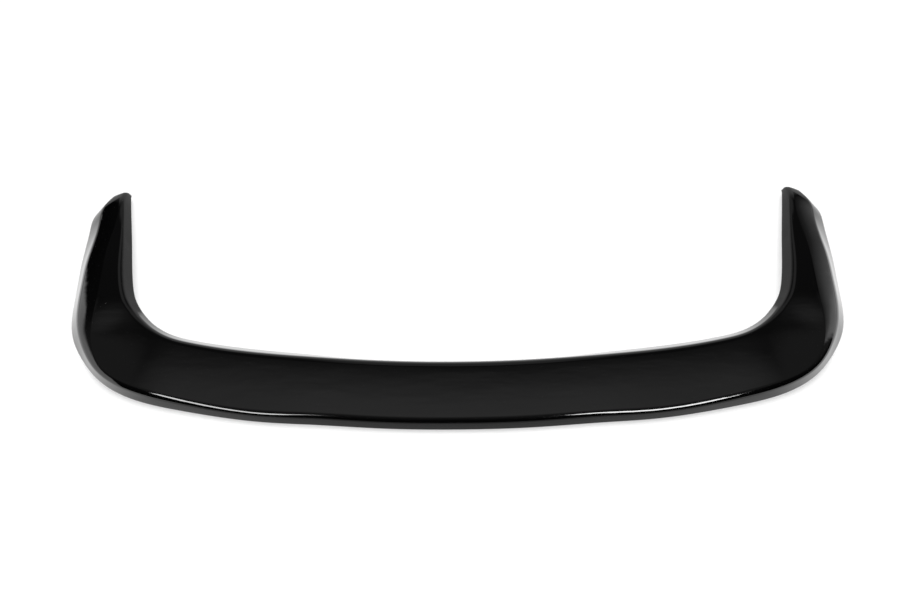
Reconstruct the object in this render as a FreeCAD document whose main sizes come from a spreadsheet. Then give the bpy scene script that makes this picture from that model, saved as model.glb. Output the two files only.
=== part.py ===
import FreeCAD, Part
import math
import os
import Sketcher

# A stick-on lip spoiler: one thin moulded shell, a long bowed blade that turns into an arm at each end.
# Millimetres and degrees. +X runs across the car, +Y along the arms, +Z up from the surface it lies on.

# Sizes of a cross-section, from the inner edge up over crest, ridge and shoulder and down to the outer rim.
# The reach is taken inwards from the plan line, the runs outwards from it, and the heights up from the rim.
SECTION_SIZES = (
    "edge_reach",
    "band_run",
    "top_run",
    "facet_run",
    "wall_run",
    "inner_height",
    "crest_height",
    "ridge_height",
    "shoulder_height",
    "crest_radius",
    "ridge_radius",
    "shoulder_radius",
)

# The main cross-sections, in that order of sizes, from the middle of the blade to the tip of an arm
MAIN_SECTIONS = {
    "middle": (6.8, 4.7, 91.8, 6.8, 1.2, 15.0, 37.3, 21.5, 17.0, 16.0, 12.0, 6.0),
    "flank": (12.0, 7.8, 88.9, 6.8, 1.2, 15.0, 37.5, 22.0, 17.5, 16.0, 12.0, 6.0),
    "corner": (2.0, 13.0, 94.5, 6.5, 2.0, 25.0, 40.0, 28.0, 22.0, 16.0, 8.0, 8.0),
    "haunch": (0.0, 17.0, 51.0, 27.5, 13.9, 29.0, 45.0, 43.0, 31.5, 18.0, 8.0, 20.0),
    "root": (0.0, 17.0, 33.0, 31.0, 14.6, 29.0, 45.0, 46.0, 32.0, 18.0, 8.0, 20.0),
    "nose": (0.0, 10.5, 8.5, 30.0, 20.0, 20.0, 34.0, 36.0, 23.0, 8.0, 6.0, 22.0),
    "tip": (0.0, 6.0, 5.5, 17.0, 10.0, 14.0, 24.5, 25.5, 18.5, 6.0, 5.0, 10.0),
    "end": (0.0, 3.0, 4.5, 7.0, 5.0, 9.0, 16.0, 16.0, 11.5, 4.0, 4.0, 5.0),
}

# The plan line that the shell follows: a shallow bow, a corner arc and a straight arm. Then its own sizes.
OVERALL_SIZES = {
    "blade_span": 810.0,
    "blade_bow_radius": 2100.0,
    "corner_bend_radius": 125.0,
    "arm_splay": 6.3,
    "arm_length": 187.0,
    "tip_roll_length": 5.0,
    "wall_thickness": 3.0,
    "rim_allowance": 6.0,
}

# Each loft section's place: a stretch of the plan line and the share of it that lies behind the section.
# Each section's form: two main sections and the share of the second.
STATIONS = (
    ("blade", 0.0, "middle", "flank", 0.0),
    ("blade", 0.28, "middle", "flank", 0.15),
    ("blade", 0.5, "middle", "flank", 0.8),
    ("blade", 1.0, "flank", "corner", 0.2),
    ("bend", 0.24, "flank", "corner", 0.6),
    ("bend", 0.47, "corner", "haunch", 0.0),
    ("bend", 0.62, "corner", "haunch", 0.38),
    ("bend", 0.78, "haunch", "root", 0.0),
    ("arm", 0.0, "root", "nose", 0.0),
    ("arm", 0.4, "root", "nose", 0.47),
    ("arm", 0.75, "nose", "tip", 0.0),
    ("arm", 0.92, "nose", "tip", 0.44),
    ("arm", 1.0, "tip", "end", 0.0),
)

# Sections of the rolled end that shuts an arm, by the angle of the round that it is the last part of
ROLL_ANGLES = (40, 60, 75, 90)
RIGHT = 1
LEFT = -1

doc = FreeCAD.newDocument("lip_spoiler")

# Driving dimensions
values = dict(OVERALL_SIZES)
for section_name, section_values in MAIN_SECTIONS.items():
    for size_name, size_value in zip(SECTION_SIZES, section_values):
        values[section_name + "_" + size_name] = size_value
sizes = doc.addObject("Spreadsheet::Sheet", "sizes")
for row, (alias, value) in enumerate(values.items(), start=1):
    cell = "A" + str(row)
    sizes.set(cell, str(value))
    sizes.setAlias(cell, alias)
doc.recompute()


def plan_line(stretch, share):
    """Formulas for X, Y and heading at a point of the plan line, on the right-hand side."""
    bow = "sizes.blade_bow_radius"
    bend = "sizes.corner_bend_radius"
    sweep = "asin(sizes.blade_span / 2 / sizes.blade_bow_radius)"
    arm_heading = "(90 deg - sizes.arm_splay * 1 deg)"
    if stretch == "blade":
        heading = "{0} * {1}".format(sweep, share)
        along_x = "{0} * sin({1})".format(bow, heading)
        along_y = "{0} * (1 - cos({1}))".format(bow, heading)
        return along_x, along_y, heading
    heading = arm_heading
    if stretch == "bend":
        heading = "({0} + ({1} - {0}) * {2})".format(sweep, arm_heading, share)
    along_x = "{0} * sin({1}) + {2} * (sin({3}) - sin({1}))".format(bow, sweep, bend, heading)
    along_y = "{0} * (1 - cos({1})) + {2} * (cos({1}) - cos({3}))".format(bow, sweep, bend, heading)
    if stretch == "arm":
        along_x += " + sizes.arm_length * {0} * cos({1})".format(share, heading)
        along_y += " + sizes.arm_length * {0} * sin({1})".format(share, heading)
    if stretch == "roll":
        along_x += " + (sizes.arm_length + sizes.tip_roll_length * {0}) * cos({1})".format(share, heading)
        along_y += " + (sizes.arm_length + sizes.tip_roll_length * {0}) * sin({1})".format(share, heading)
    return along_x, along_y, heading


def section_sizes(station):
    """Formula and number of every size at a station, blended from its two main sections."""
    first, second, blend = station[2:]
    formulas = {}
    numbers = {}
    for size_name in SECTION_SIZES:
        first_alias = first + "_" + size_name
        second_alias = second + "_" + size_name
        blended = "sizes.{0} + (sizes.{1} - sizes.{0}) * {2}"
        formulas[size_name] = blended.format(first_alias, second_alias, blend)
        numbers[size_name] = values[first_alias] + (values[second_alias] - values[first_alias]) * blend
    return formulas, numbers


def origin_plane(body, role):
    """The body's origin plane with that role."""
    return [plane for plane in body.Origin.OriginFeatures if plane.Role == role][0]


def standing_sketch(body, name, station, side):
    """Empty sketch that stands square to the plan line: its X points outwards, its Y up."""
    sketch = body.newObject("Sketcher::SketchObject", name)
    sketch.AttachmentSupport = [(origin_plane(body, "XZ_Plane"), "")]
    sketch.MapMode = "FlatFace"
    quarter_turn = FreeCAD.Rotation(FreeCAD.Vector(0, -1, 0), 90)
    sketch.AttachmentOffset = FreeCAD.Placement(FreeCAD.Vector(), quarter_turn)
    along_x, along_y, heading = plan_line(station[0], station[1])
    sketch.setExpression("AttachmentOffset.Base.x", "{0} * ({1})".format(side, along_x))
    sketch.setExpression("AttachmentOffset.Base.z", "-({0})".format(along_y))
    sketch.setExpression("AttachmentOffset.Rotation.Angle", "90 deg - {0} * ({1})".format(side, heading))
    return sketch


def constrain(sketch, kind, *references):
    """Adds a geometric constraint."""
    sketch.addConstraint(Sketcher.Constraint(kind, *references))


def drive(sketch, kind, references, name, number, formula):
    """Adds a named dimension that follows a formula."""
    index = sketch.addConstraint(Sketcher.Constraint(kind, *references, number))
    sketch.renameConstraint(index, name)
    sketch.setExpression("Constraints." + name, formula)


def corner_arc(before, corner, after, radius):
    """Start, middle, end and centre of the arc that rounds a corner of the outline."""
    toward_before = (before - corner).normalize()
    toward_after = (after - corner).normalize()
    half_angle = toward_before.getAngle(toward_after) / 2
    setback = radius / math.tan(half_angle)
    bisector = (toward_before + toward_after).normalize()
    centre = corner + bisector * (radius / math.sin(half_angle))
    start = corner + toward_before * setback
    end = corner + toward_after * setback
    return start, centre - bisector * radius, end, centre


def outer_face(sketch, station):
    """Outer face of the wall, from the inner edge over crest, ridge and shoulder down past the rim."""
    formulas, numbers = section_sizes(station)
    allowance = values["rim_allowance"]
    crest_x = numbers["band_run"]
    ridge_x = crest_x + numbers["top_run"]
    shoulder_x = ridge_x + numbers["facet_run"]
    rim_x = shoulder_x + numbers["wall_run"]
    foot_x = rim_x + allowance * numbers["wall_run"] / numbers["shoulder_height"]
    edge_point = FreeCAD.Vector(-numbers["edge_reach"], numbers["inner_height"], 0)
    crest_point = FreeCAD.Vector(crest_x, numbers["crest_height"], 0)
    ridge_point = FreeCAD.Vector(ridge_x, numbers["ridge_height"], 0)
    shoulder_point = FreeCAD.Vector(shoulder_x, numbers["shoulder_height"], 0)
    rim_point = FreeCAD.Vector(rim_x, 0, 0)
    foot_point = FreeCAD.Vector(foot_x, -allowance, 0)

    crest_arc = corner_arc(edge_point, crest_point, ridge_point, numbers["crest_radius"])
    ridge_arc = corner_arc(crest_point, ridge_point, shoulder_point, numbers["ridge_radius"])
    shoulder_arc = corner_arc(ridge_point, shoulder_point, foot_point, numbers["shoulder_radius"])
    outline = (
        Part.LineSegment(edge_point, crest_arc[0]),
        Part.Arc(*crest_arc[:3]),
        Part.LineSegment(crest_arc[2], ridge_arc[0]),
        Part.Arc(*ridge_arc[:3]),
        Part.LineSegment(ridge_arc[2], shoulder_arc[0]),
        Part.Arc(*shoulder_arc[:3]),
        Part.LineSegment(shoulder_arc[2], foot_point),
    )
    band, crest, top, ridge, facet, shoulder, wall = sketch.addGeometry(outline, False)
    marks = [Part.Point(point) for point in (crest_point, ridge_point, shoulder_point, rim_point)]
    crest_mark, ridge_mark, shoulder_mark, rim_mark = sketch.addGeometry(marks, True)

    # The outline runs clockwise, so each arc ends on the line before it
    for before, arc, after in ((band, crest, top), (top, ridge, facet), (facet, shoulder, wall)):
        constrain(sketch, "Tangent", before, 2, arc, 2)
        constrain(sketch, "Tangent", arc, 1, after, 1)
    corners = ((band, crest_mark, top), (top, ridge_mark, facet), (facet, shoulder_mark, wall))
    for before, mark, after in corners:
        constrain(sketch, "PointOnObject", mark, 1, before)
        constrain(sketch, "PointOnObject", mark, 1, after)
    constrain(sketch, "PointOnObject", rim_mark, 1, wall)
    constrain(sketch, "PointOnObject", rim_mark, 1, -1)
    dimensions = (
        ("DistanceX", "edge_reach", (band, 1, -1, 1)),
        ("DistanceX", "band_run", (-1, 1, crest_mark, 1)),
        ("DistanceX", "top_run", (crest_mark, 1, ridge_mark, 1)),
        ("DistanceX", "facet_run", (ridge_mark, 1, shoulder_mark, 1)),
        ("DistanceX", "wall_run", (shoulder_mark, 1, rim_mark, 1)),
        ("DistanceY", "inner_height", (-1, 1, band, 1)),
        ("DistanceY", "crest_height", (-1, 1, crest_mark, 1)),
        ("DistanceY", "ridge_height", (-1, 1, ridge_mark, 1)),
        ("DistanceY", "shoulder_height", (-1, 1, shoulder_mark, 1)),
        ("Radius", "crest_radius", (crest,)),
        ("Radius", "ridge_radius", (ridge,)),
        ("Radius", "shoulder_radius", (shoulder,)),
    )
    for kind, size_name, references in dimensions:
        drive(sketch, kind, references, size_name, numbers[size_name], formulas[size_name])
    drive(sketch, "DistanceY", (wall, 2, -1, 1), "rim_allowance", allowance, "sizes.rim_allowance")
    return {
        "band": band,
        "wall": wall,
        "arcs": (
            ("crest", crest, crest_arc),
            ("ridge", ridge, ridge_arc),
            ("shoulder", shoulder, shoulder_arc),
        ),
        "edge_point": edge_point,
        "foot_point": foot_point,
    }


def wall_section(body, name, station, side):
    """Closed section of the wall: the outer face, the inner face one wall inside it, and the two edges."""
    sketch = standing_sketch(body, name, station, side)
    outer = outer_face(sketch, station)
    formulas, numbers = section_sizes(station)
    thickness = values["wall_thickness"]
    inner_arcs = []
    for corner_name, arc, (start, middle, end, centre) in outer["arcs"]:
        shrink = (numbers[corner_name + "_radius"] - thickness) / numbers[corner_name + "_radius"]
        inner_arcs.append([centre + (point - centre) * shrink for point in (start, middle, end)])
    crest_arc, ridge_arc, shoulder_arc = inner_arcs
    wall_shift = shoulder_arc[2] - outer["arcs"][2][2][2]
    band_shift = crest_arc[0] - outer["arcs"][0][2][0]
    foot_inside = outer["foot_point"] + wall_shift
    edge_inside = outer["edge_point"] + band_shift
    outline = (
        Part.LineSegment(outer["foot_point"], foot_inside),
        Part.LineSegment(foot_inside, shoulder_arc[2]),
        Part.Arc(*shoulder_arc),
        Part.LineSegment(shoulder_arc[0], ridge_arc[2]),
        Part.Arc(*ridge_arc),
        Part.LineSegment(ridge_arc[0], crest_arc[2]),
        Part.Arc(*crest_arc),
        Part.LineSegment(crest_arc[0], edge_inside),
        Part.LineSegment(edge_inside, outer["edge_point"]),
    )
    foot_end, wall, shoulder, facet, ridge, top, crest, band, edge_end = sketch.addGeometry(outline, False)
    for before, arc, after in ((wall, shoulder, facet), (facet, ridge, top), (top, crest, band)):
        constrain(sketch, "Tangent", before, 2, arc, 1)
        constrain(sketch, "Tangent", arc, 2, after, 1)
    constrain(sketch, "Coincident", outer["wall"], 2, foot_end, 1)
    constrain(sketch, "Coincident", foot_end, 2, wall, 1)
    constrain(sketch, "Coincident", band, 2, edge_end, 1)
    constrain(sketch, "Coincident", edge_end, 2, outer["band"], 1)
    constrain(sketch, "Parallel", wall, outer["wall"])
    constrain(sketch, "Parallel", band, outer["band"])
    constrain(sketch, "Perpendicular", foot_end, outer["wall"])
    constrain(sketch, "Perpendicular", edge_end, outer["band"])
    for inner_arc, (corner_name, outer_arc, points) in zip((crest, ridge, shoulder), outer["arcs"]):
        size_name = corner_name + "_radius"
        constrain(sketch, "Coincident", inner_arc, 3, outer_arc, 3)
        formula = formulas[size_name] + " - sizes.wall_thickness"
        drive(sketch, "Radius", (inner_arc,), size_name + "_inside", numbers[size_name] - thickness, formula)
    return sketch


def solid_section(body, name, station, side):
    """Closed section of a solid stretch: the outer face, shut by a straight underside."""
    sketch = standing_sketch(body, name, station, side)
    outer = outer_face(sketch, station)
    underside = sketch.addGeometry(Part.LineSegment(outer["foot_point"], outer["edge_point"]), False)
    constrain(sketch, "Coincident", outer["wall"], 2, underside, 1)
    constrain(sketch, "Coincident", underside, 2, outer["band"], 1)
    return sketch


# Shell wall, lofted from the left tip round to the right tip
body = doc.addObject("PartDesign::Body", "lip_shell")
body.Label = "lip_shell"
places = [(station, LEFT) for station in reversed(STATIONS[1:])]
places += [(station, RIGHT) for station in STATIONS]
sections = []
for number, (station, side) in enumerate(places, start=1):
    sections.append(wall_section(body, "section_" + str(number), station, side))
shell_wall = body.newObject("PartDesign::AdditiveLoft", "shell_wall")
shell_wall.Profile = sections[0]
shell_wall.Sections = sections[1:]
doc.recompute()

# Arm ends, rolled over and shut
first_turn = math.radians(ROLL_ANGLES[0])
for side, end_name in ((LEFT, "left_end"), (RIGHT, "right_end")):
    sections = []
    for angle in ROLL_ANGLES:
        turn = math.radians(angle)
        along = (math.sin(turn) - math.sin(first_turn)) / (1 - math.sin(first_turn))
        drop = 1 - math.cos(turn) / math.cos(first_turn)
        station = ("roll", along, "tip", "end", drop)
        sections.append(solid_section(body, end_name + "_section_" + str(angle), station, side))
    rolled_end = body.newObject("PartDesign::AdditiveLoft", end_name)
    rolled_end.Profile = sections[0]
    rolled_end.Sections = sections[1:]
    doc.recompute()

# Flat rim: what runs on below the surface that the shell lies on is cut away
trim_area = body.newObject("Sketcher::SketchObject", "trim_area")
trim_area.AttachmentSupport = [(origin_plane(body, "XY_Plane"), "")]
trim_area.MapMode = "FlatFace"
reach = values["blade_span"]
trim_circle = trim_area.addGeometry(Part.Circle(FreeCAD.Vector(), FreeCAD.Vector(0, 0, 1), reach), False)
constrain(trim_area, "Coincident", trim_circle, 3, -1, 1)
drive(trim_area, "Radius", (trim_circle,), "trim_reach", reach, "sizes.blade_span")
untrimmed_volume = body.Shape.Volume
rim_trim = body.newObject("PartDesign::Pocket", "rim_trim")
rim_trim.Profile = trim_area
rim_trim.setExpression("Length", "2 * sizes.rim_allowance")
doc.recompute()
if not untrimmed_volume / 2 < rim_trim.Shape.Volume < untrimmed_volume:
    raise RuntimeError("the rim was not trimmed")

# Origin below the middle of the shell's box
runs = ("band_run", "top_run", "facet_run", "wall_run")
blade_depth = " + ".join("sizes.middle_" + run for run in runs)
arm_reach = plan_line("roll", 1.0)[1]
body.setExpression("Placement.Base.y", "(({0}) - ({1})) / 2".format(blade_depth, arm_reach))
doc.recompute()

for item in doc.Objects:
    if "Invalid" in item.State or "Error" in item.State:
        raise RuntimeError(item.Name + " failed: " + ", ".join(item.State))
if body.Shape.isNull() or not body.Shape.isValid() or len(body.Shape.Solids) != 1:
    raise RuntimeError(body.Label + " is not one valid solid")
os.makedirs("parts", exist_ok=True)
body.Shape.exportStep("parts/" + body.Label + ".step")
print(body.Label, body.Shape.optimalBoundingBox(), round(body.Shape.Volume), "cubic mm")
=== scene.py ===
import math

import bmesh
import bpy
import numpy as np
from mathutils import Matrix, Vector
from mathutils.geometry import interpolate_bezier


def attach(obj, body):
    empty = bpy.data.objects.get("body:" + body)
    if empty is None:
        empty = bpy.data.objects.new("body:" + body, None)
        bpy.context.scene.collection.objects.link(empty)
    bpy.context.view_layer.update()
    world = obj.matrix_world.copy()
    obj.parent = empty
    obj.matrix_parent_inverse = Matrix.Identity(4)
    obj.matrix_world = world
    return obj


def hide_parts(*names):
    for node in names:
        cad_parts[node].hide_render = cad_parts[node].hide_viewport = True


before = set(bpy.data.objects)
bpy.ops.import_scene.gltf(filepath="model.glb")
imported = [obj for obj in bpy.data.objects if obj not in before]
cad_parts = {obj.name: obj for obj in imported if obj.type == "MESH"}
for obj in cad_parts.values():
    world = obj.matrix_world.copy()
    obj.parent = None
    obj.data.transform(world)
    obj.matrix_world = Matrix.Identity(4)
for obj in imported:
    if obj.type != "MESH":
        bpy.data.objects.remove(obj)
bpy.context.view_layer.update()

# Lip shell
# The whole lip is one moulding, a black plastic sheet drawn over a crowned section that runs round the U.
# A chain of points, the section's outer face, is extruded from arm tip to arm tip and then given its wall.

MM = 0.001
# Millimetres. A section's corners are edge, crest, ridge, shoulder and rim, with the middle three rounded.
SECTION_SIZES = (
    "edge_reach",
    "band_run",
    "top_run",
    "facet_run",
    "wall_run",
    "inner_height",
    "crest_height",
    "ridge_height",
    "shoulder_height",
    "crest_radius",
    "ridge_radius",
    "shoulder_radius",
)
MAIN_SECTIONS = {
    "middle": (6.8, 4.7, 91.8, 6.8, 1.2, 15.0, 37.3, 21.5, 17.0, 16.0, 12.0, 6.0),
    "flank": (12.0, 7.8, 88.9, 6.8, 1.2, 15.0, 37.5, 22.0, 17.5, 16.0, 12.0, 6.0),
    "corner": (2.0, 13.0, 94.5, 6.5, 2.0, 25.0, 40.0, 28.0, 22.0, 16.0, 8.0, 8.0),
    "haunch": (0.0, 17.0, 51.0, 27.5, 13.9, 29.0, 45.0, 43.0, 31.5, 18.0, 8.0, 20.0),
    "root": (0.0, 17.0, 33.0, 31.0, 14.6, 29.0, 45.0, 46.0, 32.0, 18.0, 8.0, 20.0),
    "nose": (0.0, 10.5, 8.5, 30.0, 20.0, 20.0, 34.0, 36.0, 23.0, 8.0, 6.0, 22.0),
    "tip": (0.0, 6.0, 5.5, 17.0, 10.0, 14.0, 24.5, 25.5, 18.5, 6.0, 5.0, 10.0),
    "end": (0.0, 3.0, 4.5, 7.0, 5.0, 9.0, 16.0, 16.0, 11.5, 4.0, 4.0, 5.0),
}
# Each station: the stretch of the U, the share of that stretch, the two sections it mixes, and how far.
STATIONS = (
    ("blade", 0.0, "middle", "flank", 0.0),
    ("blade", 0.28, "middle", "flank", 0.15),
    ("blade", 0.5, "middle", "flank", 0.8),
    ("blade", 1.0, "flank", "corner", 0.2),
    ("bend", 0.24, "flank", "corner", 0.6),
    ("bend", 0.47, "corner", "haunch", 0.0),
    ("bend", 0.62, "corner", "haunch", 0.38),
    ("bend", 0.78, "haunch", "root", 0.0),
    ("arm", 0.0, "root", "nose", 0.0),
    ("arm", 0.4, "root", "nose", 0.47),
    ("arm", 0.75, "nose", "tip", 0.0),
    ("arm", 0.92, "nose", "tip", 0.44),
    ("arm", 1.0, "tip", "end", 0.0),
)
BLADE_SPAN = 810.0
BLADE_BOW_RADIUS = 2100.0
CORNER_BEND_RADIUS = 125.0
ARM_SPLAY = math.radians(6.3)
ARM_LENGTH = 187.0
TIP_ROLL_LENGTH = 5.0
TIP_ROLL_START = math.radians(40.0)
WALL_THICKNESS = 3.0
TOP_CROWN = math.radians(2.5)
FACET_CROWN = math.radians(6.0)
BELOW_RIM = 4.0
EDGE_BREAK = 0.4
FLOOR_GAP = 0.02
CUT_SNAP = 0.0001
INSIDE_CAD = Vector((0.9998, 0.9997, 0.998))
SHARP_ANGLE = math.radians(40.0)
LOFT_STEP = 5.0
CORNER_STEPS = 10
BETWEEN_POINTS = 9
TIP_ROLL_STEPS = 6


def plan_line(stretch, share):
    """Point and heading of the line that the shell follows in plan, on the right-hand side."""
    sweep = math.asin(BLADE_SPAN / 2 / BLADE_BOW_RADIUS)
    arm_heading = math.pi / 2 - ARM_SPLAY
    bow_end = Vector((math.sin(sweep), 1 - math.cos(sweep))) * BLADE_BOW_RADIUS
    if stretch == "blade":
        heading = sweep * share
        return Vector((math.sin(heading), 1 - math.cos(heading))) * BLADE_BOW_RADIUS, heading
    heading = arm_heading
    if stretch == "bend":
        heading = sweep + (arm_heading - sweep) * share
    bend = Vector((math.sin(heading) - math.sin(sweep), math.cos(sweep) - math.cos(heading)))
    point = bow_end + bend * CORNER_BEND_RADIUS
    forward = Vector((math.cos(heading), math.sin(heading)))
    if stretch == "arm":
        point += forward * ARM_LENGTH * share
    if stretch == "roll":
        point += forward * (ARM_LENGTH + TIP_ROLL_LENGTH * share)
    return point, heading


def rounded_corner(corners, radius, crowns):
    """Points of the arc that rounds the middle corner, short at both ends by what the crowned sides turn."""
    before, corner, after = corners
    toward_before = (before - corner).normalized()
    toward_after = (after - corner).normalized()
    half_angle = toward_before.angle(toward_after) / 2
    bisector = (toward_before + toward_after).normalized()
    centre = corner + bisector * (radius / math.sin(half_angle))
    spoke = corner + toward_before * (radius / math.tan(half_angle)) - centre
    turn = math.pi - 2 * half_angle - crowns[0] - crowns[1]
    points = []
    for step in range(CORNER_STEPS + 1):
        angle = crowns[0] + turn * step / CORNER_STEPS
        points.append(centre + Matrix.Rotation(-angle, 2) @ spoke)
    return points


def section_face(station):
    """A station's outer face as (out, up) points, from the inner edge over the top to below the rim."""
    first, second, blend = station[2:]
    pairs = zip(SECTION_SIZES, MAIN_SECTIONS[first], MAIN_SECTIONS[second])
    size = {name: low + (high - low) * blend for name, low, high in pairs}
    edge = Vector((-size["edge_reach"], size["inner_height"]))
    crest = Vector((size["band_run"], size["crest_height"]))
    ridge = Vector((crest.x + size["top_run"], size["ridge_height"]))
    shoulder = Vector((ridge.x + size["facet_run"], size["shoulder_height"]))
    rim = Vector((shoulder.x + size["wall_run"], 0.0))
    foot = shoulder.lerp(rim, 1 + BELOW_RIM / size["shoulder_height"])
    corners = (edge, crest, ridge, shoulder, foot)
    crowns = (0.0, TOP_CROWN, FACET_CROWN, 0.0)
    rounds = [[edge]]
    for i, radius in enumerate((size["crest_radius"], size["ridge_radius"], size["shoulder_radius"])):
        rounds.append(rounded_corner(corners[i:i + 3], radius, crowns[i:i + 2]))
    rounds.append([foot])
    face = [edge]
    for i, crown in enumerate(crowns):
        start, end = rounds[i][-1], rounds[i + 1][0]
        pull = (corners[i + 1] - corners[i]).normalized() * (end - start).length / 3
        leave = start + Matrix.Rotation(crown, 2) @ pull
        arrive = end - Matrix.Rotation(-crown, 2) @ pull
        face += interpolate_bezier(start, leave, arrive, end, BETWEEN_POINTS)[1:-1]
        face += rounds[i + 1]
    return face


def placed_section(station, side):
    """The section's points in the frame of the part, in millimetres."""
    point, heading = plan_line(station[0], station[1])
    outwards = Vector((math.sin(heading), -math.cos(heading)))
    placed = []
    for out, up in section_face(station):
        place = point + outwards * out
        placed.append((side * place.x, place.y, up))
    return placed


def smooth_through(knots, rows, places):
    """Cubic curves through every section's points, read at places between the sections."""
    gaps = np.diff(knots)
    slopes = np.diff(rows, axis=0) / gaps[:, None]
    system = np.zeros((len(knots), len(knots)))
    pull = np.zeros_like(rows)
    system[0, 0] = system[-1, -1] = 1.0
    for i in range(1, len(knots) - 1):
        system[i, i - 1:i + 2] = gaps[i - 1], 2 * (gaps[i - 1] + gaps[i]), gaps[i]
        pull[i] = 6 * (slopes[i] - slopes[i - 1])
    bend = np.linalg.solve(system, pull)
    i = np.clip(np.searchsorted(knots, places, side="right") - 1, 0, len(gaps) - 1)
    gap = gaps[i][:, None]
    after = (places - knots[i])[:, None]
    before = gap - after
    cubic = (bend[i] * before ** 3 + bend[i + 1] * after ** 3) / (6 * gap)
    from_before = (rows[i] / gap - bend[i] * gap / 6) * before
    from_after = (rows[i + 1] / gap - bend[i + 1] * gap / 6) * after
    return cubic + from_before + from_after


def rolled_end(side):
    """Sections of the quarter round that shuts an arm, from the arm's tip outwards."""
    sections = []
    for step in range(1, TIP_ROLL_STEPS + 1):
        angle = TIP_ROLL_START + (math.pi / 2 - TIP_ROLL_START) * step / TIP_ROLL_STEPS
        along = (math.sin(angle) - math.sin(TIP_ROLL_START)) / (1 - math.sin(TIP_ROLL_START))
        station = ("roll", along, "tip", "end", 1 - math.cos(angle) / math.cos(TIP_ROLL_START))
        sections.append(placed_section(station, side))
    return sections


def finished_object(name, shape):
    """An object of that name, in the scene, that holds the finished shape."""
    made = bpy.data.objects.new(name, bpy.data.meshes.new(name))
    shape.to_mesh(made.data)
    shape.free()
    bpy.context.scene.collection.objects.link(made)
    return made


round_the_u = [(station, -1) for station in reversed(STATIONS[1:])]
round_the_u += [(station, 1) for station in STATIONS]
rows = np.array([placed_section(station, side) for station, side in round_the_u])
origins = np.array([plan_line(station[0], station[1])[0] for station, side in round_the_u])
origins[:, 0] *= [side for station, side in round_the_u]
knots = np.concatenate(([0.0], np.cumsum(np.linalg.norm(np.diff(origins, axis=0), axis=1))))
steps = int(round(knots[-1] / LOFT_STEP))
loft = smooth_through(knots, rows.reshape(len(rows), -1), np.linspace(0.0, knots[-1], steps + 1))
sections = rolled_end(-1)[::-1] + list(loft.reshape(steps + 1, -1, 3)) + rolled_end(1)

middle = dict(zip(SECTION_SIZES, MAIN_SECTIONS["middle"]))
blade_depth = sum(middle[run] for run in ("band_run", "top_run", "facet_run", "wall_run"))
arm_reach = plan_line("roll", 1.0)[0].y
to_frame = Vector((0.0, (blade_depth - arm_reach) / 2, 0.0))

shell_mesh = bmesh.new()
chain = [shell_mesh.verts.new((Vector(point) + to_frame) * MM) for point in sections[0]]
for first, second in zip(chain, chain[1:]):
    shell_mesh.edges.new((first, second))
shell_mesh.faces.new(chain)
edges = [edge for edge in shell_mesh.edges if {chain[0], chain[-1]} != set(edge.verts)]
for section in sections[1:]:
    grown = bmesh.ops.extrude_edge_only(shell_mesh, edges=edges)["geom"]
    new_verts = {item for item in grown if isinstance(item, bmesh.types.BMVert)}
    edges = [item for item in grown if isinstance(item, bmesh.types.BMEdge) and set(item.verts) <= new_verts]
    next_chain = []
    for vert in chain:
        link = [edge for edge in vert.link_edges if edge.other_vert(vert) in new_verts][0]
        next_chain.append(link.other_vert(vert))
    for vert, point in zip(next_chain, section):
        vert.co = (Vector(point) + to_frame) * MM
    chain = next_chain
shell_mesh.faces.new(chain)
bmesh.ops.recalc_face_normals(shell_mesh, faces=shell_mesh.faces)
highest = max(shell_mesh.faces, key=lambda face: face.calc_center_median().z)
if highest.normal.z < 0:
    bmesh.ops.reverse_faces(shell_mesh, faces=shell_mesh.faces)
bmesh.ops.solidify(shell_mesh, geom=shell_mesh.faces[:], thickness=WALL_THICKNESS * MM)
everything = shell_mesh.verts[:] + shell_mesh.edges[:] + shell_mesh.faces[:]
cut = bmesh.ops.bisect_plane(
    shell_mesh,
    geom=everything,
    dist=CUT_SNAP * MM,
    plane_co=(0, 0, FLOOR_GAP * MM),
    plane_no=(0, 0, 1),
    clear_inner=True,
)["geom_cut"]
bmesh.ops.edgeloop_fill(shell_mesh, edges=[item for item in cut if isinstance(item, bmesh.types.BMEdge)])
bmesh.ops.recalc_face_normals(shell_mesh, faces=shell_mesh.faces)
sharp = [edge for edge in shell_mesh.edges if edge.calc_face_angle(0.0) > SHARP_ANGLE]
bmesh.ops.bevel(
    shell_mesh,
    geom=sharp,
    offset=EDGE_BREAK * MM,
    offset_type="OFFSET",
    affect="EDGES",
    segments=2,
    profile=0.5,
    material=-1,
)
for face in shell_mesh.faces:
    face.smooth = True
bmesh.ops.scale(shell_mesh, vec=INSIDE_CAD, verts=shell_mesh.verts)
lip = finished_object("lip", shell_mesh)
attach(lip, "root")
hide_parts("lip_shell")

BLACK = (0.0012, 0.0012, 0.00125, 1.0)
DUST = (0.05, 0.049, 0.047, 1.0)
PLASTIC_IOR = 1.5
LACQUER_IOR = 1.5
HAIRLINE_TURN = math.radians(4.0)
HAIRLINE_SCALE = (5.0, 260.0, 40.0)
HAIRLINE_DETAIL = 2.0
HAIRLINE_SPAN = (0.6, 0.75)
HAIRLINE_ROUGHNESS = 0.05
SPECKS_PER_METRE = 48.0
SPECK_RADIUS = (0.02, 0.05)
SPECK_SHARE = (0.9, 0.92)
UPWARD_SPAN = (0.5, 0.9)
LACQUER_UNDER_DUST = 0.3
MOTTLE_STRETCH = (0.3, 1.0, 1.0)
MOTTLE_PER_METRE = 34.0
MOTTLE_DETAIL = 3.0
GRAIN_PER_METRE = 300.0
GRAIN_DETAIL = 2.0
NOISE_SPAN = (0.3, 0.7)
PLASTIC_ROUGHNESS = (0.04, 0.09)
LACQUER_ROUGHNESS = (0.015, 0.04)
RIPPLE_DEPTH = 0.0003
SATIN_ROUGHNESS = 0.45
DOWNWARD_SPAN = (-0.15, -0.02)


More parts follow.
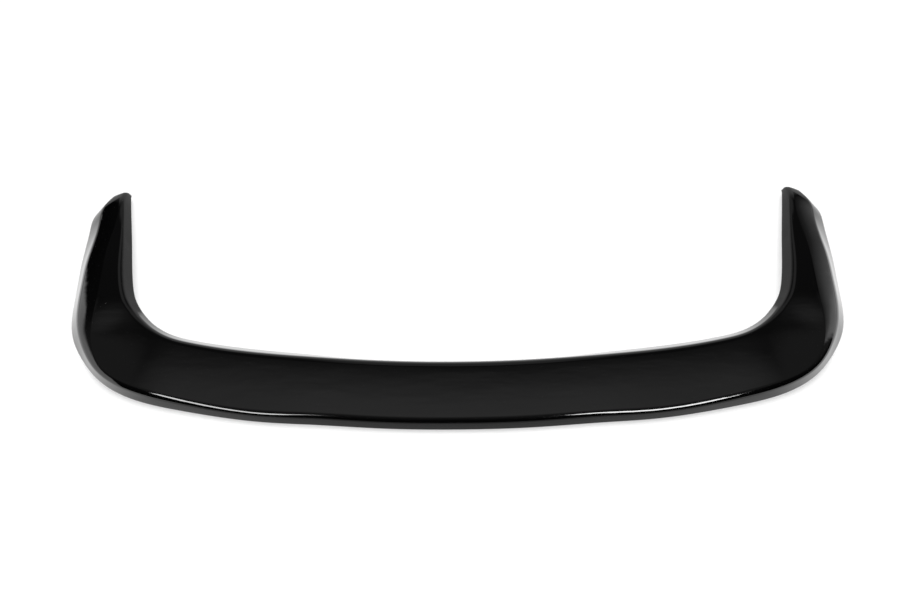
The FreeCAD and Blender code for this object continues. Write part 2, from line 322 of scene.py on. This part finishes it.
def fade(nodes, links, value, span, levels):
    """A smooth step from one level to another while a value crosses a span."""
    step = nodes.new("ShaderNodeMapRange")
    step.interpolation_type = "SMOOTHSTEP"
    step.inputs["From Min"].default_value, step.inputs["From Max"].default_value = span
    step.inputs["To Min"].default_value, step.inputs["To Max"].default_value = levels
    links.new(value, step.inputs["Value"])
    return step.outputs["Result"]


def combine(nodes, links, operation, first, second):
    """One number from two, each a socket or a plain number."""
    step = nodes.new("ShaderNodeMath")
    step.operation = operation
    for socket, value in zip(step.inputs, (first, second)):
        if isinstance(value, bpy.types.NodeSocket):
            links.new(value, socket)
        else:
            socket.default_value = value
    return step.outputs["Value"]


def noise(nodes, links, place, fineness, detail):
    """Soft random patches, so many to a metre."""
    patches = nodes.new("ShaderNodeTexNoise")
    patches.inputs["Scale"].default_value = fineness
    patches.inputs["Detail"].default_value = detail
    links.new(place, patches.inputs["Vector"])
    return patches.outputs["Fac"]


gloss = bpy.data.materials.new("gloss_black")
gloss.use_nodes = True
nodes = gloss.node_tree.nodes
links = gloss.node_tree.links
shader = nodes["Principled BSDF"]
shader.inputs["IOR"].default_value = PLASTIC_IOR
shader.inputs["Coat IOR"].default_value = LACQUER_IOR
on_lip = nodes.new("ShaderNodeTexCoord").outputs["Object"]

# Polishing marks: hairlines along the blade that are a little less smooth than the rest.
stretch = nodes.new("ShaderNodeMapping")
stretch.inputs["Rotation"].default_value = (0.0, 0.0, HAIRLINE_TURN)
stretch.inputs["Scale"].default_value = HAIRLINE_SCALE
links.new(on_lip, stretch.inputs["Vector"])
streaks = noise(nodes, links, stretch.outputs["Vector"], 1.0, HAIRLINE_DETAIL)
hairlines = fade(nodes, links, streaks, HAIRLINE_SPAN, (0.0, 1.0))

# Dust: a few pale specks on the faces that look upwards.
specks = nodes.new("ShaderNodeTexVoronoi")
specks.inputs["Scale"].default_value = SPECKS_PER_METRE
links.new(on_lip, specks.inputs["Vector"])
picked = nodes.new("ShaderNodeSeparateColor")
links.new(specks.outputs["Color"], picked.inputs["Color"])
facing = nodes.new("ShaderNodeSeparateXYZ")
links.new(nodes.new("ShaderNodeNewGeometry").outputs["Normal"], facing.inputs["Vector"])
speck = fade(nodes, links, specks.outputs["Distance"], SPECK_RADIUS, (1.0, 0.0))
few = fade(nodes, links, picked.outputs["Red"], SPECK_SHARE, (0.0, 1.0))
upwards = fade(nodes, links, facing.outputs["Z"], UPWARD_SPAN, (0.0, 1.0))
dust = combine(nodes, links, "MULTIPLY", combine(nodes, links, "MULTIPLY", speck, few), upwards)
tint = nodes.new("ShaderNodeMix")
tint.data_type = "RGBA"
tint.inputs["A"].default_value = BLACK
tint.inputs["B"].default_value = DUST
links.new(dust, tint.inputs["Factor"])
links.new(tint.outputs["Result"], shader.inputs["Base Color"])

# Mottle: the faint unevenness of a moulded and lacquered face, in the polish and in the surface itself.
along_blade = nodes.new("ShaderNodeMapping")
along_blade.inputs["Scale"].default_value = MOTTLE_STRETCH
links.new(on_lip, along_blade.inputs["Vector"])
mottle = noise(nodes, links, along_blade.outputs["Vector"], MOTTLE_PER_METRE, MOTTLE_DETAIL)
grain = noise(nodes, links, on_lip, GRAIN_PER_METRE, GRAIN_DETAIL)
lacquer = fade(nodes, links, dust, (0.0, 1.0), (1.0, LACQUER_UNDER_DUST))
sheen = fade(nodes, links, grain, NOISE_SPAN, PLASTIC_ROUGHNESS)
polish = fade(nodes, links, mottle, NOISE_SPAN, LACQUER_ROUGHNESS)
scuffs = combine(nodes, links, "MULTIPLY", hairlines, HAIRLINE_ROUGHNESS)
links.new(combine(nodes, links, "ADD", polish, scuffs), shader.inputs["Coat Roughness"])
ripple = nodes.new("ShaderNodeBump")
ripple.inputs["Strength"].default_value = 1.0
ripple.inputs["Distance"].default_value = RIPPLE_DEPTH
links.new(mottle, ripple.inputs["Height"])
links.new(ripple.outputs["Normal"], shader.inputs["Normal"])
links.new(ripple.outputs["Normal"], shader.inputs["Coat Normal"])

# Inside: the faces that look downwards are as they left the mould, satin and without lacquer.
outside = fade(nodes, links, facing.outputs["Z"], DOWNWARD_SPAN, (0.0, 1.0))
satin = fade(nodes, links, facing.outputs["Z"], DOWNWARD_SPAN, (SATIN_ROUGHNESS, 0.0))
links.new(combine(nodes, links, "MULTIPLY", lacquer, outside), shader.inputs["Coat Weight"])
links.new(combine(nodes, links, "MAXIMUM", sheen, satin), shader.inputs["Roughness"])
lip.data.materials.append(gloss)

# Floor
# A plain white sheet of paper under the lip. It reads as white to the eye and keeps the lip's shadow.
# The gloss shows it too, with painted shade: its glow there is dimmer in front of the blade and far behind
# it.

FLOOR_HALF_SIZE = 4.0
PAPER_WHITE = (0.9, 0.9, 0.9, 1.0)
PAPER_ROUGHNESS = 0.9
SHEET_GLOW = 0.5
FRONT_PAINTED_SHADE = 0.18
FRONT_SPAN = (-0.26, -0.1)
BESIDE_SPAN = (0.36, 0.56)
FAR_PAINTED_SHADE = 0.3
FAR_SPAN = (0.14, 0.26)
floor_mesh = bmesh.new()
bmesh.ops.create_grid(floor_mesh, x_segments=1, y_segments=1, size=FLOOR_HALF_SIZE)
floor = finished_object("floor", floor_mesh)
paper = bpy.data.materials.new("white_paper")
paper.use_nodes = True
nodes = paper.node_tree.nodes
links = paper.node_tree.links
sheet = nodes["Principled BSDF"]
sheet.inputs["Base Color"].default_value = PAPER_WHITE
sheet.inputs["Roughness"].default_value = PAPER_ROUGHNESS
place = nodes.new("ShaderNodeSeparateXYZ")
links.new(nodes.new("ShaderNodeTexCoord").outputs["Object"], place.inputs["Vector"])
# Painted shade on the sheet as the gloss sees it: a lower glow in front of the blade and far behind it.
behind = fade(nodes, links, place.outputs["Y"], FRONT_SPAN, (FRONT_PAINTED_SHADE, 1.0))
sideways = combine(nodes, links, "ABSOLUTE", place.outputs["X"], 0.0)
beside = fade(nodes, links, sideways, BESIDE_SPAN, (0.0, 1.0))
far = fade(nodes, links, place.outputs["Y"], FAR_SPAN, (1.0, FAR_PAINTED_SHADE))
painted_shade_in_gloss = combine(nodes, links, "MULTIPLY", combine(nodes, links, "MAXIMUM", behind, beside), far)
rays = nodes.new("ShaderNodeLightPath")
glow = nodes.new("ShaderNodeEmission")
links.new(combine(nodes, links, "MAXIMUM", painted_shade_in_gloss, rays.outputs["Is Camera Ray"]), glow.inputs["Strength"])
to_eye = combine(nodes, links, "MULTIPLY", rays.outputs["Is Camera Ray"], SHEET_GLOW)
mix = nodes.new("ShaderNodeMixShader")
links.new(combine(nodes, links, "MAXIMUM", to_eye, rays.outputs["Is Glossy Ray"]), mix.inputs["Fac"])
links.new(sheet.outputs["BSDF"], mix.inputs[1])
links.new(glow.outputs["Emission"], mix.inputs[2])
links.new(mix.outputs["Shader"], nodes["Material Output"].inputs["Surface"])
floor.data.materials.append(paper)

# Back card
# A tall grey card that stands behind the lip, out of the picture, paler in its lower part.
# The crest and the inner bands reflect it.

CARD_SIZE = (2.8, 2.6)
CARD_PLACE = Vector((0.0, 1.5, 1.3))
CARD_LOW_LEVEL = 0.35
CARD_LOW_SPAN = (0.9, CARD_SIZE[0] / 2)
CARD_LOW_TOP = (0.3, 1.3)
CARD_HIGH_LEVELS = (0.16, 0.02)
CARD_HIGH_SPAN = (0.15, 0.45)
card_mesh = bmesh.new()
bmesh.ops.create_grid(card_mesh, x_segments=1, y_segments=1, size=0.5)
bmesh.ops.scale(card_mesh, vec=(CARD_SIZE[0], CARD_SIZE[1], 1.0), verts=card_mesh.verts)
bmesh.ops.rotate(card_mesh, matrix=Matrix.Rotation(math.pi / 2, 3, "X"), verts=card_mesh.verts)
bmesh.ops.translate(card_mesh, vec=CARD_PLACE, verts=card_mesh.verts)
back_card = finished_object("back_card", card_mesh)
back_card.visible_camera = False
back_card.visible_shadow = False
grey_card = bpy.data.materials.new("grey_card")
grey_card.use_nodes = True
nodes = grey_card.node_tree.nodes
links = grey_card.node_tree.links
nodes.remove(nodes["Principled BSDF"])
place = nodes.new("ShaderNodeSeparateXYZ")
links.new(nodes.new("ShaderNodeTexCoord").outputs["Object"], place.inputs["Vector"])
sideways = combine(nodes, links, "ABSOLUTE", place.outputs["X"], 0.0)
low_part = fade(nodes, links, sideways, CARD_LOW_SPAN, (CARD_LOW_LEVEL, 0.0))
high_part = fade(nodes, links, sideways, CARD_HIGH_SPAN, CARD_HIGH_LEVELS)
below = fade(nodes, links, place.outputs["Z"], CARD_LOW_TOP, (1.0, 0.0))
low_part = combine(nodes, links, "MULTIPLY", low_part, below)
lit = nodes.new("ShaderNodeEmission")
links.new(combine(nodes, links, "MAXIMUM", low_part, high_part), lit.inputs["Strength"])
links.new(lit.outputs["Emission"], nodes["Material Output"].inputs["Surface"])
back_card.data.materials.append(grey_card)

# Room light
# A light tent: white side walls, a low one on the left and one at the back half of the right, a soft light
# overhead, two soft boxes on stands beside the camera, and an even fill. The eye sees white all round.

RIGHT_LEVELS = (
    (-1.0, 0.0),
    (0.5, 0.0),
    (0.6, 0.08),
    (0.67, 0.22),
    (0.74, 0.42),
    (0.8, 0.85),
    (0.86, 1.0),
    (1.0, 1.0),
)
OVERHEAD_LEVELS = (
    (-1.0, 0.005),
    (-0.6, 0.006),
    (-0.3, 0.08),
    (0.1, 0.27),
    (0.187, 0.24),
    (0.265, 0.14),
    (0.32, 0.07),
    (0.42, 0.03),
    (0.574, 0.01),
    (1.0, 0.01),
)
OVERHEAD_SPAN = (0.2, 0.45)
OFF_LINE_SPAN = (0.1, 0.3)
OFF_LINE_LEVEL = 0.28
CORNER_LEVEL = 0.09
CORNER_SPAN = (0.18, 0.26)
CORNER_HEIGHT = (0.8, 0.9)
RIGHT_BACK_SPAN = (0.13, 0.2)
LEFT_SPAN = (-0.77, -0.73)
LEFT_TOP = (0.45, 0.6)
SOFT_BOXES = (
    ((-1.2, -1.85, 2.6), (0.96, 0.5), 12.0),
    ((1.01, -1.85, 2.6), (0.81, 0.5), 16.0),
)
FILL_LEVEL = 3.5
FILL_SPREAD = math.radians(36.0)
FILL_TILT = math.radians(-22.0)


def level_ramp(nodes, links, value, levels):
    """Levels of grey against a value that runs from -1 to 1."""
    share = nodes.new("ShaderNodeMapRange")
    share.inputs["From Min"].default_value = -1.0
    links.new(value, share.inputs["Value"])
    ramp = nodes.new("ShaderNodeValToRGB")
    links.new(share.outputs["Result"], ramp.inputs["Fac"])
    stops = ramp.color_ramp.elements
    stops.remove(stops[1])
    stops[0].color = (levels[0][1], levels[0][1], levels[0][1], 1.0)
    for at, level in levels[1:]:
        stops.new((at + 1.0) / 2.0).color = (level, level, level, 1.0)
    return ramp.outputs["Color"]


room = bpy.data.worlds.new("room")
bpy.context.scene.world = room
room.use_nodes = True
nodes = room.node_tree.nodes
links = room.node_tree.links
split = nodes.new("ShaderNodeSeparateXYZ")
links.new(nodes.new("ShaderNodeTexCoord").outputs["Generated"], split.inputs["Vector"])
right_wall = level_ramp(nodes, links, split.outputs["X"], RIGHT_LEVELS)
right_back = fade(nodes, links, split.outputs["Y"], RIGHT_BACK_SPAN, (0.0, 1.0))
right_wall = combine(nodes, links, "MULTIPLY", right_wall, right_back)
left_wall = fade(nodes, links, split.outputs["X"], LEFT_SPAN, (1.0, 0.0))
left_top = fade(nodes, links, split.outputs["Z"], LEFT_TOP, (1.0, 0.0))
sides = combine(nodes, links, "MAXIMUM", right_wall, combine(nodes, links, "MULTIPLY", left_wall, left_top))
overhead = level_ramp(nodes, links, split.outputs["Y"], OVERHEAD_LEVELS)
upwards = fade(nodes, links, split.outputs["Z"], OVERHEAD_SPAN, (0.0, 1.0))
sideways = combine(nodes, links, "ABSOLUTE", split.outputs["X"], 0.0)
in_line = fade(nodes, links, sideways, OFF_LINE_SPAN, (1.0, OFF_LINE_LEVEL))
overhead = combine(nodes, links, "MULTIPLY", overhead, combine(nodes, links, "MULTIPLY", upwards, in_line))
off_line = fade(nodes, links, sideways, CORNER_SPAN, (0.0, CORNER_LEVEL))
near_top = fade(nodes, links, split.outputs["Z"], CORNER_HEIGHT, (0.0, 1.0))
overhead = combine(nodes, links, "MAXIMUM", overhead, combine(nodes, links, "MULTIPLY", off_line, near_top))
level = combine(nodes, links, "MAXIMUM", sides, overhead)
eye = nodes.new("ShaderNodeLightPath").outputs["Is Camera Ray"]
links.new(combine(nodes, links, "MAXIMUM", level, eye), nodes["Background"].inputs["Strength"])
nodes["Background"].inputs["Color"].default_value = (1.0, 1.0, 1.0, 1.0)

for place, size, power in SOFT_BOXES:
    soft_box = bpy.data.lights.new("soft_box", "AREA")
    soft_box.shape = "RECTANGLE"
    soft_box.size, soft_box.size_y = size
    soft_box.energy = power
    lamp = bpy.data.objects.new("soft_box", soft_box)
    lamp.location = place
    lamp.rotation_euler = (-lamp.location).to_track_quat("-Z", "Y").to_euler()
    bpy.context.scene.collection.objects.link(lamp)
fill_light = bpy.data.lights.new("fill", "SUN")
fill_light.energy = FILL_LEVEL
fill_light.angle = FILL_SPREAD
fill = bpy.data.objects.new("fill", fill_light)
fill.rotation_euler.x = FILL_TILT
fill.visible_glossy = False
bpy.context.scene.collection.objects.link(fill)

# Camera
# A long lens that looks down on the lip from in front of the blade, as the photograph does.

TARGET = Vector((0.0, -0.01126, 0.015))
ELEVATION = math.radians(55.0)
DISTANCE = 3.2
FOCAL_PIXELS = 2061.0
PICTURE_WIDTH = 920.0
SENSOR_WIDTH = 36.0
TARGET_OFF_CENTRE = (2.5, 2.5)
CAMERA_ROLL = math.radians(-0.5)
lens = bpy.data.cameras.new("camera")
lens.sensor_width = SENSOR_WIDTH
lens.lens = FOCAL_PIXELS / PICTURE_WIDTH * SENSOR_WIDTH
lens.shift_x = TARGET_OFF_CENTRE[0] / PICTURE_WIDTH
lens.shift_y = TARGET_OFF_CENTRE[1] / PICTURE_WIDTH
camera = bpy.data.objects.new("camera", lens)
backwards = Vector((0.0, -math.cos(ELEVATION), math.sin(ELEVATION)))
turn = Matrix.Rotation(math.pi / 2 - ELEVATION, 4, "X") @ Matrix.Rotation(CAMERA_ROLL, 4, "Z")
camera.matrix_world = Matrix.Translation(TARGET + backwards * DISTANCE) @ turn
bpy.context.scene.collection.objects.link(camera)
bpy.context.scene.camera = camera
bpy.context.scene.view_settings.view_transform = "Standard"
